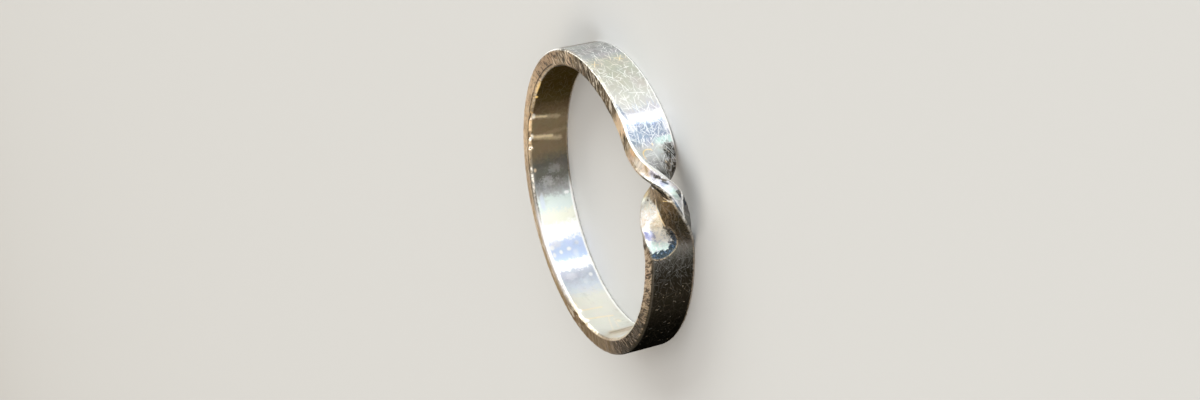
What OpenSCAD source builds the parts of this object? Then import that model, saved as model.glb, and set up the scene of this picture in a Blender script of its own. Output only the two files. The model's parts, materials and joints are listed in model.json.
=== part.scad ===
// Twist ring: one flat silver strip, closed into a ring, with a half turn in it.
// The ring lies on its side. The finger hole runs along Z, and the twist faces +X.
// The origin is the middle of the finger hole, half way up the strip's width.

/* [Band] */
// Inside diameter of the ring
inner_d = 18; // [16:0.5:22]
// Thickness of the flat strip
strip_t = 1.15; // [0.9:0.05:1.4]
// Width of the flat strip
strip_w = 2.95; // [2.4:0.05:3.2]
// Radius that softens the strip's four long edges
edge_r = 0.2; // [0.1:0.05:0.3]

/* [Twist] */
// Length of strip that the half turn takes up
twist_l = 9.2; // [8:0.1:9.6]
// How far the middle of the twist stands out past the round of the ring
proud = 1; // [0.9:0.05:1.1]
// How far the middle of the twist leans towards the upper rim
lean = 0.5; // [0.4:0.05:0.6]

/* [Fineness] */
// Cross-sections along the twisted stretch
stations = 80; // [40:2:120]
// Flats that make up each softened edge
corner_cuts = 3; // [2:4]
// Strips that each broad face is divided into where it twists
face_cuts = 4; // [2:6]
// Flats that a preview draws the round of the ring with
round_cuts = 180; // [90:10:360]

/* [Hidden] */

inner_r = inner_d / 2;
mid_r = inner_r + strip_t / 2;
half_t = strip_t / 2;
half_w = strip_w / 2;
flat_t = half_t - edge_r;
flat_w = half_w - edge_r;

// The twisted stretch ends where the lines from the origin to these two corners cut the ring
cut_x = 16;
cut_y = 12;
cut_angle = atan2(cut_y, cut_x);

// How the strip turns over. Each row's columns are:
// its place along the twist, from -1 at the start to 1 at the end
// the turn of the strip there, in degrees
// the share of the full lean there
AT = 0;
TURN = 1;
LEAN = 2;
twist_rows = [
    [-1, 0, 0],
    [-0.72, 1, 0.14],
    [-0.48, 14, 0.36],
    [-0.24, 43, 0.64],
    [0, 94, 0.97],
    [0.24, 125, 1],
    [0.48, 154, 0.63],
    [0.72, 177, 0.13],
    [1, 180, 0]
];
last_row = len(twist_rows) - 1;

// Slope of a column at one row, level at both ends of the twist
function slope(column, k) =
    k == 0 || k == last_row ? 0 :
    (twist_rows[k + 1][column] - twist_rows[k - 1][column])
        / (twist_rows[k + 1][AT] - twist_rows[k - 1][AT]);

// A smooth curve through one column, flat past the ends
function along(column, place) =
    let (p = max(-1, min(1, place)))
    let (k = max([for (j = [0:last_row - 1]) if (p >= twist_rows[j][AT]) j]))
    let (gap = twist_rows[k + 1][AT] - twist_rows[k][AT])
    let (u = (p - twist_rows[k][AT]) / gap)
    let (start = twist_rows[k][column])
    let (rise = twist_rows[k + 1][column] - start)
    let (ease = u * u * (3 - 2 * u))
    start + rise * ease
        + gap * slope(column, k) * u * (1 - u) * (1 - u)
        - gap * slope(column, k + 1) * u * u * (1 - u);

// One softened edge of the strip, a quarter round from the given direction
function soft_edge(across, up, from) = [
    for (k = [0:corner_cuts])
        let (a = from + 90 * k / corner_cuts)
        [across + edge_r * cos(a), up + edge_r * sin(a)]
];

// Points between the two edges of a broad face
function broad_face(across, from, to) = [
    for (k = [1:face_cuts - 1]) [across, from + (to - from) * k / face_cuts]
];

// The strip's cross-section: thickness across, width up
outline = concat(
    soft_edge(flat_t, -flat_w, 270),
    broad_face(half_t, -flat_w, flat_w),
    soft_edge(flat_t, flat_w, 0),
    soft_edge(-flat_t, flat_w, 90),
    broad_face(-half_t, flat_w, -flat_w),
    soft_edge(-flat_t, -flat_w, 180)
);
n = len(outline);

// The cross-section at station i, turned and set out from the finger hole
function section(i) =
    let (angle = cut_angle * (1 - 2 * i / stations))
    let (place = -angle * PI / 180 * mid_r / (twist_l / 2))
    let (turn = along(TURN, place))
    let (middle_r = mid_r + proud * sin(turn))
    let (middle_z = lean * along(LEAN, place))
    [
        for (q = outline)
            let (r = middle_r + q[0] * cos(turn) + q[1] * sin(turn))
            let (z = middle_z - q[0] * sin(turn) + q[1] * cos(turn))
            [r * cos(angle), r * sin(angle), z]
    ];

// The stretch that turns over, swept through its cross-sections
module twisted_stretch() {
    points = [for (i = [0:stations]) each section(i)];
    sides = [
        for (i = [0:stations - 1])
            for (j = [0:n - 1])
                let (a = i * n + j)
                let (b = i * n + (j + 1) % n)
                each [[a, a + n, b + n], [a, b + n, b]]
    ];
    start_face = [for (j = [0:n - 1]) j];
    end_face = [for (j = [n - 1:-1:0]) stations * n + j];
    polyhedron(points, concat([start_face, end_face], sides));
}

// The round of the ring, open where the twisted stretch goes in
module plain_round() {
    difference() {
        rotate_extrude($fn = round_cuts)
            translate([mid_r, 0])
                polygon(outline);
        linear_extrude(height = 2 * strip_w, center = true)
            polygon([[0, 0], [cut_x, cut_y], [cut_x, -cut_y]]);
    }
}

module band() {
    color("silver")
        union() {
            plain_round();
            twisted_stretch();
        }
}

band();
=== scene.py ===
# Twist ring: a flat silver strip closed into a ring, with a half turn in it, lying on a pale floor
import json
import math
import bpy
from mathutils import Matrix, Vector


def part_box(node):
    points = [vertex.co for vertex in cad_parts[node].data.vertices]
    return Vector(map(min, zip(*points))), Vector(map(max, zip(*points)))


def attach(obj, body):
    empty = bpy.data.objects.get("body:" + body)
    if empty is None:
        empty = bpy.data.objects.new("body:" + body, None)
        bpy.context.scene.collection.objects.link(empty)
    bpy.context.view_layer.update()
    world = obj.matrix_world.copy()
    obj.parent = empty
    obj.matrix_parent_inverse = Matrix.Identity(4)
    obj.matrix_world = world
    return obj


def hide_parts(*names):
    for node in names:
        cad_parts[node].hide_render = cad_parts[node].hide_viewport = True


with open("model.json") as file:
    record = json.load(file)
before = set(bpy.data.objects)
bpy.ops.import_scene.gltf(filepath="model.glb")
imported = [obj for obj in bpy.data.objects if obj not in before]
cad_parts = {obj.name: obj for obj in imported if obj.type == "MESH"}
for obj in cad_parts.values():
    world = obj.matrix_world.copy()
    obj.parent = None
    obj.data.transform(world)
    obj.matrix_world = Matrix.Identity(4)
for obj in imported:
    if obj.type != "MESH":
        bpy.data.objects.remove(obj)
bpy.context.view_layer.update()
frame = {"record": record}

from types import SimpleNamespace

import bpy
import numpy as np
from mathutils import Matrix, Vector, noise

mm = 0.001

fingerHole = next(m for m in frame["record"]["mounts"] if m["name"] == "finger_hole")
bandLow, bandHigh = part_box("band")
innerR = fingerHole["dims"]["r_mm"]

# The flat strip, in millimetres
strip = {
    "thick": round(-bandLow.x / mm - innerR, 2),
    "wide": round(-2 * bandLow.z / mm, 2),
    "edgeRound": 0.2,  # softening of the four long edges
    "jointAngle": 91.5,  # where the strip's two ends were joined, in degrees round from the twist
    "faceCuts": 28,  # divisions across a broad face
    "rimCuts": 10,  # divisions across a rim
    "edgeCuts": 4,  # divisions round a softened edge
    "plainStep": 0.066,  # spacing of the sections in the round of the ring
    "twistStep": 0.045,  # spacing of the sections in the twist
    "twistReach": 5.2,  # how far the finer sections go each side of the twist's middle
}

# The half turn. Each row: place from -1 to 1, turn in degrees, share of the lean
twist = {
    "length": 9.2,
    "proud": 1.0,  # how far its middle stands out past the round
    "lean": 0.5,  # how far its middle leans towards the upper rim
    "rows": [
        (-1, 0, 0),
        (-0.72, 1, 0.14),
        (-0.48, 14, 0.36),
        (-0.24, 43, 0.64),
        (0, 94, 0.97),
        (0.24, 125, 1),
        (0.48, 154, 0.63),
        (0.72, 177, 0.13),
        (1, 180, 0),
    ],
}

halfThick = strip["thick"] / 2
halfWide = strip["wide"] / 2
flatThick = halfThick - strip["edgeRound"]
flatWide = halfWide - strip["edgeRound"]
midR = innerR + halfThick
ringLength = 2 * math.pi * midR
stripStart = -math.radians(strip["jointAngle"]) * midR
stripEnd = stripStart + ringLength


# A smooth curve through one column of the twist's rows, flat past the ends
def twistCurve(column, place):
    rows = np.array(twist["rows"], float)
    at, value = rows[:, 0], rows[:, column]
    slopes = np.zeros(len(rows))
    slopes[1:-1] = (value[2:] - value[:-2]) / (at[2:] - at[:-2])
    p = np.clip(place, -1, 1)
    k = np.clip(np.searchsorted(at, p, side="right") - 1, 0, len(rows) - 2)
    gap = at[k + 1] - at[k]
    u = (p - at[k]) / gap
    eased = value[k] + (value[k + 1] - value[k]) * u * u * (3 - 2 * u)
    return eased + gap * slopes[k] * u * (1 - u) ** 2 - gap * slopes[k + 1] * u * u * (1 - u)


# Half of the strip's outline and its outward directions; the other half is its mirror through the middle
def stripOutline():
    points, outward = [], []

    def corner(across, up, start):
        for k in range(strip["edgeCuts"]):
            a = math.radians(start + 90 * k / strip["edgeCuts"])
            direction = (math.cos(a), math.sin(a))
            points.append((across + strip["edgeRound"] * direction[0], up + strip["edgeRound"] * direction[1]))
            outward.append(direction)

    corner(flatThick, -flatWide, 270)
    for k in range(strip["faceCuts"]):
        points.append((halfThick, -flatWide + 2 * flatWide * k / strip["faceCuts"]))
        outward.append((1, 0))
    corner(flatThick, flatWide, 0)
    for k in range(strip["rimCuts"]):
        points.append((flatThick - 2 * flatThick * k / strip["rimCuts"], halfWide))
        outward.append((0, 1))
    points, outward = np.array(points), np.array(outward, float)
    return np.concatenate([points, -points]), np.concatenate([outward, -outward])


# Distances along the strip from the twist's middle, closer together in the twist
def stations():
    reach = strip["twistReach"]
    before = np.linspace(stripStart, -reach, round((-reach - stripStart) / strip["plainStep"]), endpoint=False)
    inTwist = np.linspace(-reach, reach, round(2 * reach / strip["twistStep"]), endpoint=False)
    after = np.linspace(reach, stripEnd, round((stripEnd - reach) / strip["plainStep"]), endpoint=False)
    return np.concatenate([before, inTwist, after])


def softStep(value, low, high):
    u = np.clip((value - low) / (high - low), 0, 1)
    return u * u * (3 - 2 * u)


def noiseAt(points, scale, shift=0.0):
    offset = Vector((shift, 1.7 * shift, -0.6 * shift))
    flat = points.reshape(-1, 3) * scale
    values = np.fromiter((noise.noise(Vector(p) + offset) for p in flat), float, len(flat))
    return values.reshape(points.shape[:-1])


# Hand work left in the metal, in millimetres
handWork = {
    "sway": [(2, 0.03, 20), (3, 0.02, 75), (5, 0.008, 10)],  # waves round the ring, height, start in degrees
    "hammer": 0.010,  # shallow hollows all over the faces
    "hammerSize": 1.6,
    "fileDepth": 0.022,  # strokes across the rims
    "filePitch": 0.24,
    "edgeDents": 0.035,
    "spoonDepth": 0.06,  # hollow at the lower end of the twist
    "spoonAt": (2.49, -0.85),  # along the strip and across it
    "spoonRadius": 1.30,
    "bevelWide": (0.13, 0.38),  # inner edge of the near rim, worn to a slope: at the bottom and further up
    "bevelDeep": 0.09,
    "nicks": [(35.58, 0.28, 0.17), (37.37, 0.28, 0.19), (34.73, 0.15, 0.10), (21.07, 0.2, 0.1), (19.76, 0.22, 0.1)],
    "creases": [(35.3, 0.20, 0.012), (37.25, 0.20, 0.010), (25.3, 0.3, 0.01), (28.0, 0.4, 0.01)],
}


def stretchedRound(x, y, z, along, across):
    # coordinates that run evenly round the ring and have no seam
    r = np.hypot(x, y)
    return np.stack([x / r * along, y / r * along, r * across + z * across], -1)


def handMarks(along, q, position):
    x, y, z = position[..., 0], position[..., 1], position[..., 2]
    thickAt, wideAt = q[None, :, 0], q[None, :, 1]
    onRim = softStep(np.abs(wideAt), flatWide, halfWide) * np.ones_like(x)
    onFace = softStep(np.abs(thickAt), flatThick, halfThick) * np.ones_like(x)
    marks = handWork["hammer"] * noiseAt(position, 1 / handWork["hammerSize"], 8.0) * onFace
    strokes = noiseAt(stretchedRound(x, y, z, midR / handWork["filePitch"], 1.1), 1.0, 21.0)
    strokes = strokes + 0.6 * noiseAt(stretchedRound(x, y, z, midR / handWork["filePitch"] * 0.45, 2.0), 1.0, 5.0)
    marks = marks + handWork["fileDepth"] * strokes * onRim
    dents = np.minimum(noiseAt(position, 1 / 0.9, 14.0), 0)
    marks = marks + handWork["edgeDents"] * dents * onRim * onFace
    fromSpoon = np.hypot(along[:, None] - handWork["spoonAt"][0], wideAt - handWork["spoonAt"][1])
    spoon = softStep(1.0 - fromSpoon / handWork["spoonRadius"], 0.0, 0.7) * (thickAt < 0) * onFace
    marks = marks - handWork["spoonDepth"] * spoon

    # the same edge is on the other side of the strip before the joint and after it
    inside = np.where(thickAt > 0, softStep(along, 4.0, 7.0)[:, None], softStep(along, -9.0, -12.0)[:, None])
    nearEdge = np.where(thickAt > 0, -wideAt, wideAt)
    low, high = handWork["bevelWide"]
    reach = low + (high - low) * softStep(along, 29.5, 33.0)[:, None]
    bevel = np.clip((nearEdge - (halfWide - reach)) / reach, 0, 1) ** 1.3
    marks = marks - handWork["bevelDeep"] * bevel * inside * onFace
    for at, half, deep in handWork["nicks"]:
        nick = np.exp(-((along[:, None] - at) / half) ** 2) * (thickAt > 0) * (wideAt < 0)
        marks = marks - deep * nick * softStep(-wideAt, 1.0, 1.44) * softStep(thickAt, 0.10, 0.54)
    for at, half, high in handWork["creases"]:
        slant = along[:, None] + 0.2 * wideAt - at
        crease = np.exp(-(slant / half) ** 2) * (thickAt > 0)
        marks = marks + high * crease * onFace
    return marks


def makeBand():
    q, out = stripOutline()
    along = stations()
    count, ring = len(along), len(q)
    angle = -along / midR
    place = along / (twist["length"] / 2)
    turn = np.radians(twistCurve(1, place))[:, None]
    sway = sum(height * np.sin(waves * angle + math.radians(at)) for waves, height, at in handWork["sway"])
    middleR = midR + twist["proud"] * np.sin(turn) + sway[:, None]
    middleZ = twist["lean"] * twistCurve(2, place)[:, None]
    cosTurn, sinTurn = np.cos(turn), np.sin(turn)
    r = middleR + q[:, 0] * cosTurn + q[:, 1] * sinTurn
    z = middleZ - q[:, 0] * sinTurn + q[:, 1] * cosTurn
    outR = out[:, 0] * cosTurn + out[:, 1] * sinTurn
    outZ = -out[:, 0] * sinTurn + out[:, 1] * cosTurn
    cosAngle, sinAngle = np.cos(angle)[:, None], np.sin(angle)[:, None]
    position = np.stack([r * cosAngle, r * sinAngle, z], -1)
    outward = np.stack([outR * cosAngle, outR * sinAngle, outZ], -1)
    position = position + outward * handMarks(along, q, position)[..., None]
    position[..., 2] = np.maximum(position[..., 2], -halfWide)

    i, j = np.meshgrid(np.arange(count), np.arange(ring), indexing="ij")
    nextJ = (j + 1) % ring
    last = i == count - 1
    halfRing = ring // 2
    here, beside = i * ring + j, i * ring + nextJ
    ahead = np.where(last, (j + halfRing) % ring, (i + 1) * ring + j)
    aheadBeside = np.where(last, (nextJ + halfRing) % ring, (i + 1) * ring + nextJ)
    faces = np.stack([here, beside, aheadBeside, ahead], -1).reshape(-1, 4)

    mesh = bpy.data.meshes.new("band")
    mesh.from_pydata((position.reshape(-1, 3) * mm).tolist(), [], faces.tolist())
    mesh.shade_smooth()

    # each corner knows its place on the strip: along it, through its thickness and across its width
    alongNext = np.append(along[1:], stripEnd)
    a0, a1 = along[i], alongNext[i]
    corners = [(a0, q[j]), (a0, q[nextJ]), (a1, q[nextJ]), (a1, q[j])]
    placeOnStrip = np.stack([np.concatenate([a[..., None], p], -1) for a, p in corners], 2)
    layer = mesh.attributes.new("stripPlace", "FLOAT_VECTOR", "CORNER")
    layer.data.foreach_set("vector", placeOnStrip.reshape(-1).astype(np.float32))
    mesh.validate()

    band = bpy.data.objects.new("worn_band", mesh)
    bpy.context.scene.collection.objects.link(band)
    return band


print("band: sweeping the strip")
wornBand = makeBand()
print("band:", len(wornBand.data.polygons), "faces")


# Small helpers for the finish's nodes. Each returns an output socket
class Finish:
    def __init__(self, tree):
        self.tree = tree
        tree.nodes.clear()

    def node(self, kind, inputs=None, **settings):
        made = self.tree.nodes.new("ShaderNode" + kind)
        for key, value in settings.items():
            setattr(made, key, value)
        for key, value in (inputs or {}).items():
            self.feed(made.inputs[key], value)
        return made

    def feed(self, socket, value):
        if isinstance(value, bpy.types.NodeSocket):
            self.tree.links.new(value, socket)
        elif isinstance(value, (tuple, list)) and len(value) == 3 and socket.type == "RGBA":
            socket.default_value = (*value, 1)
        else:
            socket.default_value = value

    def sum(self, operation, *values):
        return self.node("Math", dict(enumerate(values)), operation=operation).outputs[0]

    def vector(self, operation, *values):
        made = self.node("VectorMath", operation=operation)
        for k, value in enumerate(values):
            socket = made.inputs["Scale"] if operation == "SCALE" and k == 1 else made.inputs[k]
            self.feed(socket, value)
        return made.outputs["Value"] if operation in ("LENGTH", "DOT_PRODUCT") else made.outputs["Vector"]

    def soft(self, value, low, high):
        made = self.node("MapRange", {"Value": value}, interpolation_type="SMOOTHSTEP", clamp=False)
        rising = low < high
        made.inputs["From Min"].default_value = low if rising else high
        made.inputs["From Max"].default_value = high if rising else low
        made.inputs["To Min"].default_value = 0 if rising else 1
        made.inputs["To Max"].default_value = 1 if rising else 0
        return made.outputs[0]

    def times(self, *values):
        result = values[0]
        for value in values[1:]:
            result = self.sum("MULTIPLY", result, value)
        return result

    def most(self, *values):
        result = values[0]
        for value in values[1:]:
            result = self.sum("MAXIMUM", result, value)
        return result

    def other(self, value):
        return self.sum("SUBTRACT", 1, value)

    def window(self, value, low, high, soft):
        return self.times(self.soft(value, low - soft, low + soft), self.soft(value, high + soft, high - soft))

    def wobble(self, value, cloud, amount):
        return self.sum("MULTIPLY_ADD", self.sum("SUBTRACT", cloud, 0.5), amount, value)

    def apart(self, flat, at, half=(1, 1, 1)):
        return self.vector("LENGTH", self.vector("DIVIDE", self.vector("SUBTRACT", flat, at), half))

    def apartFromLine(self, flat, start, end):
        run = Vector(end) - Vector(start)
        away = self.vector("SUBTRACT", flat, start)
        share = self.sum("DIVIDE", self.vector("DOT_PRODUCT", away, run), run.length_squared)
        nearest = self.vector("SCALE", tuple(run), self.sum("MINIMUM", self.sum("MAXIMUM", share, 0), 1))
        return self.vector("LENGTH", self.vector("SUBTRACT", away, nearest))

    def mix(self, share, first, second, blend="MIX"):
        made = self.node("Mix", data_type="RGBA", blend_type=blend)
        self.feed(made.inputs[0], share)
        self.feed(made.inputs[6], first)
        self.feed(made.inputs[7], second)
        return made.outputs[2]

    def cloud(self, where, scale, detail=2.0, roughness=0.5, distortion=0.0, colour=False):
        made = self.node(
            "TexNoise",
            {"Vector": where, "Scale": scale, "Detail": detail, "Roughness": roughness, "Distortion": distortion},
        )
        return made.outputs["Color" if colour else "Fac"]

    def ramp(self, value, stops):
        low, high = stops[0][0], stops[-1][0]
        share = self.node("MapRange", {"Value": value, "From Min": low, "From Max": high}, clamp=False)
        made = self.node("ValToRGB", {0: share.outputs[0]})
        bar = made.color_ramp
        while len(bar.elements) < len(stops):
            bar.elements.new(0.5)
        for element, (at, colour) in zip(bar.elements, stops):
            element.position = (at - low) / (high - low)
            element.color = (*colour, 1)
        return made.outputs[0]


# Colours of the metal, of what has settled on it, and of the light and shade painted on it
colours = {
    "white": (0.97, 0.97, 0.96),
    "frost": (0.90, 0.90, 0.93),
    "cream": (0.90, 0.82, 0.69),
    "straw": (0.95, 0.80, 0.55),
    "brightAsh": (0.76, 0.76, 0.78),
    "lightAsh": (0.66, 0.66, 0.67),
    "ash": (0.57, 0.57, 0.575),
    "dullAsh": (0.46, 0.46, 0.465),
    "deepAsh": (0.365, 0.365, 0.37),
    "sage": (0.52, 0.52, 0.46),
    "paleGreen": (0.58, 0.575, 0.52),
    "paleAsh": (0.68, 0.675, 0.65),
    "milk": (0.68, 0.675, 0.66),
    "paleMilk": (0.53, 0.53, 0.565),
    "shell": (0.77, 0.76, 0.70),
    "warmShell": (0.78, 0.70, 0.57),
    "paleAqua": (0.68, 0.75, 0.72),
    "paleGold": (0.80, 0.80, 0.69),
    "silver": (0.58, 0.57, 0.56),
    "dullSilver": (0.45, 0.445, 0.45),
    "lavender": (0.56, 0.57, 0.76),
    "violet": (0.47, 0.48, 0.68),
    "deepViolet": (0.13, 0.135, 0.25),
    "haze": (0.64, 0.69, 0.78),
    "coolGrey": (0.52, 0.55, 0.63),
    "lilac": (0.74, 0.74, 0.81),
    "cool": (0.60, 0.70, 0.92),
    "deepBlue": (0.305, 0.36, 0.465),
    "aqua": (0.66, 0.84, 0.80),
    "grey": (0.36, 0.36, 0.35),
    "dimGrey": (0.26, 0.26, 0.25),
    "slate": (0.17, 0.165, 0.15),
    "darkSlate": (0.13, 0.125, 0.105),
    "buff": (0.63, 0.51, 0.40),
    "paleBuff": (0.88, 0.71, 0.52),
    "dullBuff": (0.39, 0.29, 0.175),
    "sand": (0.58, 0.45, 0.32),
    "dullSand": (0.52, 0.39, 0.26),
    "darkSand": (0.120, 0.097, 0.067),
    "brightTan": (0.97, 0.72, 0.46),
    "amber": (0.92, 0.62, 0.36),
    "paleTan": (0.60, 0.47, 0.32),
    "tan": (0.44, 0.35, 0.24),
    "warmTan": (0.38, 0.28, 0.16),
    "dullTan": (0.225, 0.165, 0.095),
    "peach": (0.78, 0.60, 0.41),
    "palePeach": (0.70, 0.58, 0.45),
    "gold": (0.90, 0.70, 0.34),
    "deepGold": (0.84, 0.56, 0.19),
    "oldGold": (0.27, 0.21, 0.13),
    "honey": (0.165, 0.103, 0.045),
    "bronze": (0.175, 0.130, 0.075),
    "darkBronze": (0.150, 0.104, 0.055),
    "deepBronze": (0.087, 0.059, 0.030),
    "olive": (0.055, 0.038, 0.012),
    "deepOlive": (0.036, 0.023, 0.0055),
    "brown": (0.12, 0.092, 0.058),
    "dimBrown": (0.092, 0.071, 0.044),
    "deepBrown": (0.044, 0.033, 0.020),
    # the dark face below the twist: tarnish with painted shade
    "paleTarnishShade": (0.145, 0.136, 0.120),
    "tarnishShade": (0.085, 0.080, 0.069),
    "dimTarnishShade": (0.036, 0.033, 0.027),
    "darkBrown": (0.028, 0.021, 0.013),
    "darkUmber": (0.014, 0.0115, 0.0075),
    "umber": (0.024, 0.020, 0.013),
    # near black: painted shade at the neck and under the crossing band, and the pits
    "shadeAndPitBlack": (0.010, 0.009, 0.006),
    "black": (0.002, 0.002, 0.0015),
    "navy": (0.010, 0.024, 0.045),
    "steelBlue": (0.06, 0.15, 0.28),
}

# Tones along the strip, in millimetres from the twist's middle. The two broad faces are the front and the
# back: the front is the outside of the ring before the twist and its inside after it. Some stretches are
# painted light: white glare bands with blue bands of sky are painted reflections, and the darkest stretches
# are tarnish with painted shade
tonesAndPaintedLight = {
    "frontBefore": [
        (-15.3, "bronze"), (-14.3, "brown"), (-13.3, "dullAsh"), (-12.6, "dullAsh"), (-11.9, "deepAsh"),
        (-11.2, "deepAsh"), (-10.4, "dullAsh"), (-9.6, "sage"), (-8.3, "sage"), (-7.0, "paleGreen"), (-6.1, "paleAsh"),
        # -4.7 to -3.2: painted reflections, a white glare band and a blue band of sky
        (-5.5, "milk"), (-5.1, "paleMilk"), (-4.7, "frost"), (-4.4, "white"), (-4.2, "cool"), (-4.0, "deepBlue"),
        (-3.2, "deepBlue"), (-2.75, "ash"), (-2.1, "ash"), (-1.65, "deepAsh"), (-1.4, "grey"), (-1.15, "slate"), (-1.0, "umber"),
        (3.0, "grey"),
    ],
    "frontAfter": [
        (3.0, "grey"), (14.5, "white"), (16.2, "cream"), (17.5, "shell"), (22.3, "shell"), (23.4, "haze"),
        # 25 to 28.3: painted reflections, two white glare bands with a pale blue band of sky between
        (24.2, "coolGrey"), (24.8, "coolGrey"), (25.0, "white"), (25.6, "white"), (25.85, "cool"), (27.2, "cool"),
        (27.5, "white"), (28.3, "white"), (28.8, "paleGold"), (29.4, "paleGold"), (29.8, "paleAqua"),
        # from 31 on, the upper part of the inside: olive tarnish with painted shade
        (30.5, "paleAqua"), (31.0, "dullSilver"), (31.7, "dimGrey"), (32.2, "darkSlate"), (33.2, "darkSlate"),
        (34.2, "oldGold"), (36.9, "oldGold"), (37.8, "darkBronze"), (38.7, "olive"), (40.4, "deepOlive"),
        (44.9, "deepOlive"),
    ],
    "back": [
        (-15.3, "deepOlive"), (-9.0, "bronze"), (-3.0, "grey"), (-0.5, "dullTan"), (-0.1, "warmTan"), (0.2, "bronze"),
        # 3.2 to 14.5, the outside below the twist: tarnish with painted shade, darkening to near black
        (1.0, "dimBrown"), (2.6, "dimBrown"), (3.2, "paleTarnishShade"), (3.7, "tarnishShade"), (4.2, "dimTarnishShade"), (4.8, "darkUmber"),
        (6.6, "darkUmber"), (9.0, "black"), (14.5, "black"), (17.0, "brown"), (20.0, "grey"), (26.0, "silver"),
        (36.0, "silver"), (42.0, "grey"), (44.9, "bronze"),
    ],
    "rim": [
        (-15.3, "dullSand"), (-14.3, "dullBuff"), (-13.2, "oldGold"), (-12.6, "paleBuff"), (-11.9, "warmTan"),
        (-11.1, "bronze"), (-10.2, "darkBronze"), (-9.1, "deepBronze"), (-8.2, "deepBronze"), (-7.6, "darkBronze"),
        (-5.4, "bronze"), (-5.0, "peach"), (-4.5, "peach"), (-4.0, "brightTan"), (-3.6, "dullTan"), (-3.0, "tan"), (-2.7, "paleTan"),
        (-2.2, "palePeach"), (-1.3, "palePeach"), (-0.9, "dullSilver"), (2.6, "grey"), (3.4, "dullTan"), (4.3, "buff"),
        (6.2, "buff"), (7.5, "tan"), (9.0, "darkSand"), (12.0, "darkBrown"), (14.5, "deepBronze"), (15.9, "dullTan"),
        (21.5, "honey"), (24.0, "warmTan"), (31.0, "paleTan"),
    ],
    "rimLate": [
        (30.0, "paleTan"), (33.0, "sand"), (34.5, "paleBuff"), (40.5, "paleBuff"), (41.9, "sand"), (44.9, "dullSand"),
    ],
}

# Stains, worn spots, painted highlights and painted shade: side, place along and across, half sizes, softness,
# raggedness, colour, strength
stains = {
    # painted reflection: lighter patches in the blue band of sky
    "blueTop": ("front", (-3.95, 0.95), (0.22, 0.30), 0.7, 0.5, "frost", 0.6),
    "blueLow": ("front", (-3.8, -1.2), (0.40, 0.20), 0.7, 0.5, "frost", 0.6),
    "aquaStreak": ("front", (-2.95, -0.9), (0.30, 0.85), 0.6, 0.4, "aqua", 0.85),
    "aquaTail": ("front", (-2.55, -0.25), (0.42, 0.26), 0.8, 0.6, "paleAqua", 0.5),
    "patina": ("front", (-2.25, -0.95), (0.62, 0.50), 0.5, 1.2, "slate", 0.9),
    "patinaDark": ("front", (-2.15, -1.0), (0.42, 0.40), 0.4, 2.0, "umber", 0.75),
    "patinaTail": ("front", (-1.25, -0.78), (0.62, 0.80), 0.5, 0.7, "brown", 0.8),
    "patinaEdge": ("front", (-1.0, -1.15), (0.75, 0.45), 0.9, 0.8, "umber", 0.75),
    "goldDrop": ("front", (-2.50, 0.33), (0.07, 0.06), 0.5, 0.3, "straw", 0.9),
    "goldDropLow": ("front", (-2.80, 0.08), (0.09, 0.06), 0.5, 0.3, "straw", 0.8),
    "warmSpot": ("front", (18.7, 0.62), (0.32, 0.17), 0.9, 0.4, "cream", 0.8),
    # painted highlights: soft bright spots in the glare on the inside
    "highlightA": ("front", (24.15, 0.85), (0.20, 0.17), 0.8, 0.2, "white", 0.7),
    "highlightB": ("front", (23.7, 0.28), (0.28, 0.18), 0.9, 0.2, "white", 0.4),
    "highlightC": ("front", (26.55, 0.05), (0.17, 0.20), 0.7, 0.2, "white", 0.9),
    "highlightD": ("front", (26.42, -0.58), (0.18, 0.14), 0.7, 0.2, "white", 0.9),
    "highlightE": ("front", (26.9, 0.75), (0.20, 0.18), 0.9, 0.2, "frost", 0.5),
    "highlightF": ("front", (26.9, -1.12), (0.24, 0.20), 0.8, 0.2, "white", 0.9),
    "highlightG": ("front", (26.3, -1.12), (0.22, 0.14), 0.8, 0.2, "white", 0.8),
    "highlightH": ("front", (26.1, 0.45), (0.35, 0.25), 0.9, 0.4, "white", 0.3),
    "blueEdge": ("front", (30.4, -0.95), (0.70, 0.20), 0.8, 0.3, "haze", 0.8),
    "farSpot": ("front", (30.75, 0.95), (0.14, 0.22), 0.7, 0.2, "white", 0.8),
    "dullCloudA": ("front", (31.9, -0.3), (0.45, 0.60), 0.9, 1.5, "silver", 0.35),
    "dullCloudB": ("front", (32.7, 0.3), (0.45, 0.5), 0.9, 1.5, "grey", 0.35),
    "rimTan": ("rim", (-2.55, 0.30), (0.34, 0.22), 0.8, 0.9, "amber", 0.8),
    "rimPale": ("rim", (-1.80, 0.05), (0.34, 0.38), 0.9, 1.2, "cream", 0.7),
    "rimSpecks": ("rim", (-1.95, -0.30), (0.30, 0.14), 0.7, 2.2, "warmTan", 0.8),
    "rimGrit": ("rim", (-3.5, -0.1), (0.6, 0.40), 0.9, 1.4, "bronze", 0.5),
    "lilacCorner": ("front", (27.1, -0.75), (0.30, 0.45), 0.9, 0.9, "lilac", 0.7),
    "greyCloud": ("front", (24.35, -0.55), (0.35, 0.45), 0.9, 1.2, "lilac", 0.6),
    "greyCloudNext": ("front", (23.9, 0.35), (0.40, 0.40), 0.9, 1.2, "haze", 0.7),
    "neckTan": ("back", (0.0, -0.45), (0.36, 0.75), 0.8, 0.8, "tan", 0.85),
    # painted shade: at the neck under the crossing band, and on the dark side of the twist's lower end
    "neckShade": ("back", (0.02, 1.20), (0.42, 0.52), 0.7, 0.6, "shadeAndPitBlack", 0.9),
    "hollowShade": ("back", (1.9, 1.15), (1.25, 0.50), 1.0, 0.4, "umber", 0.85),
}

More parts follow.
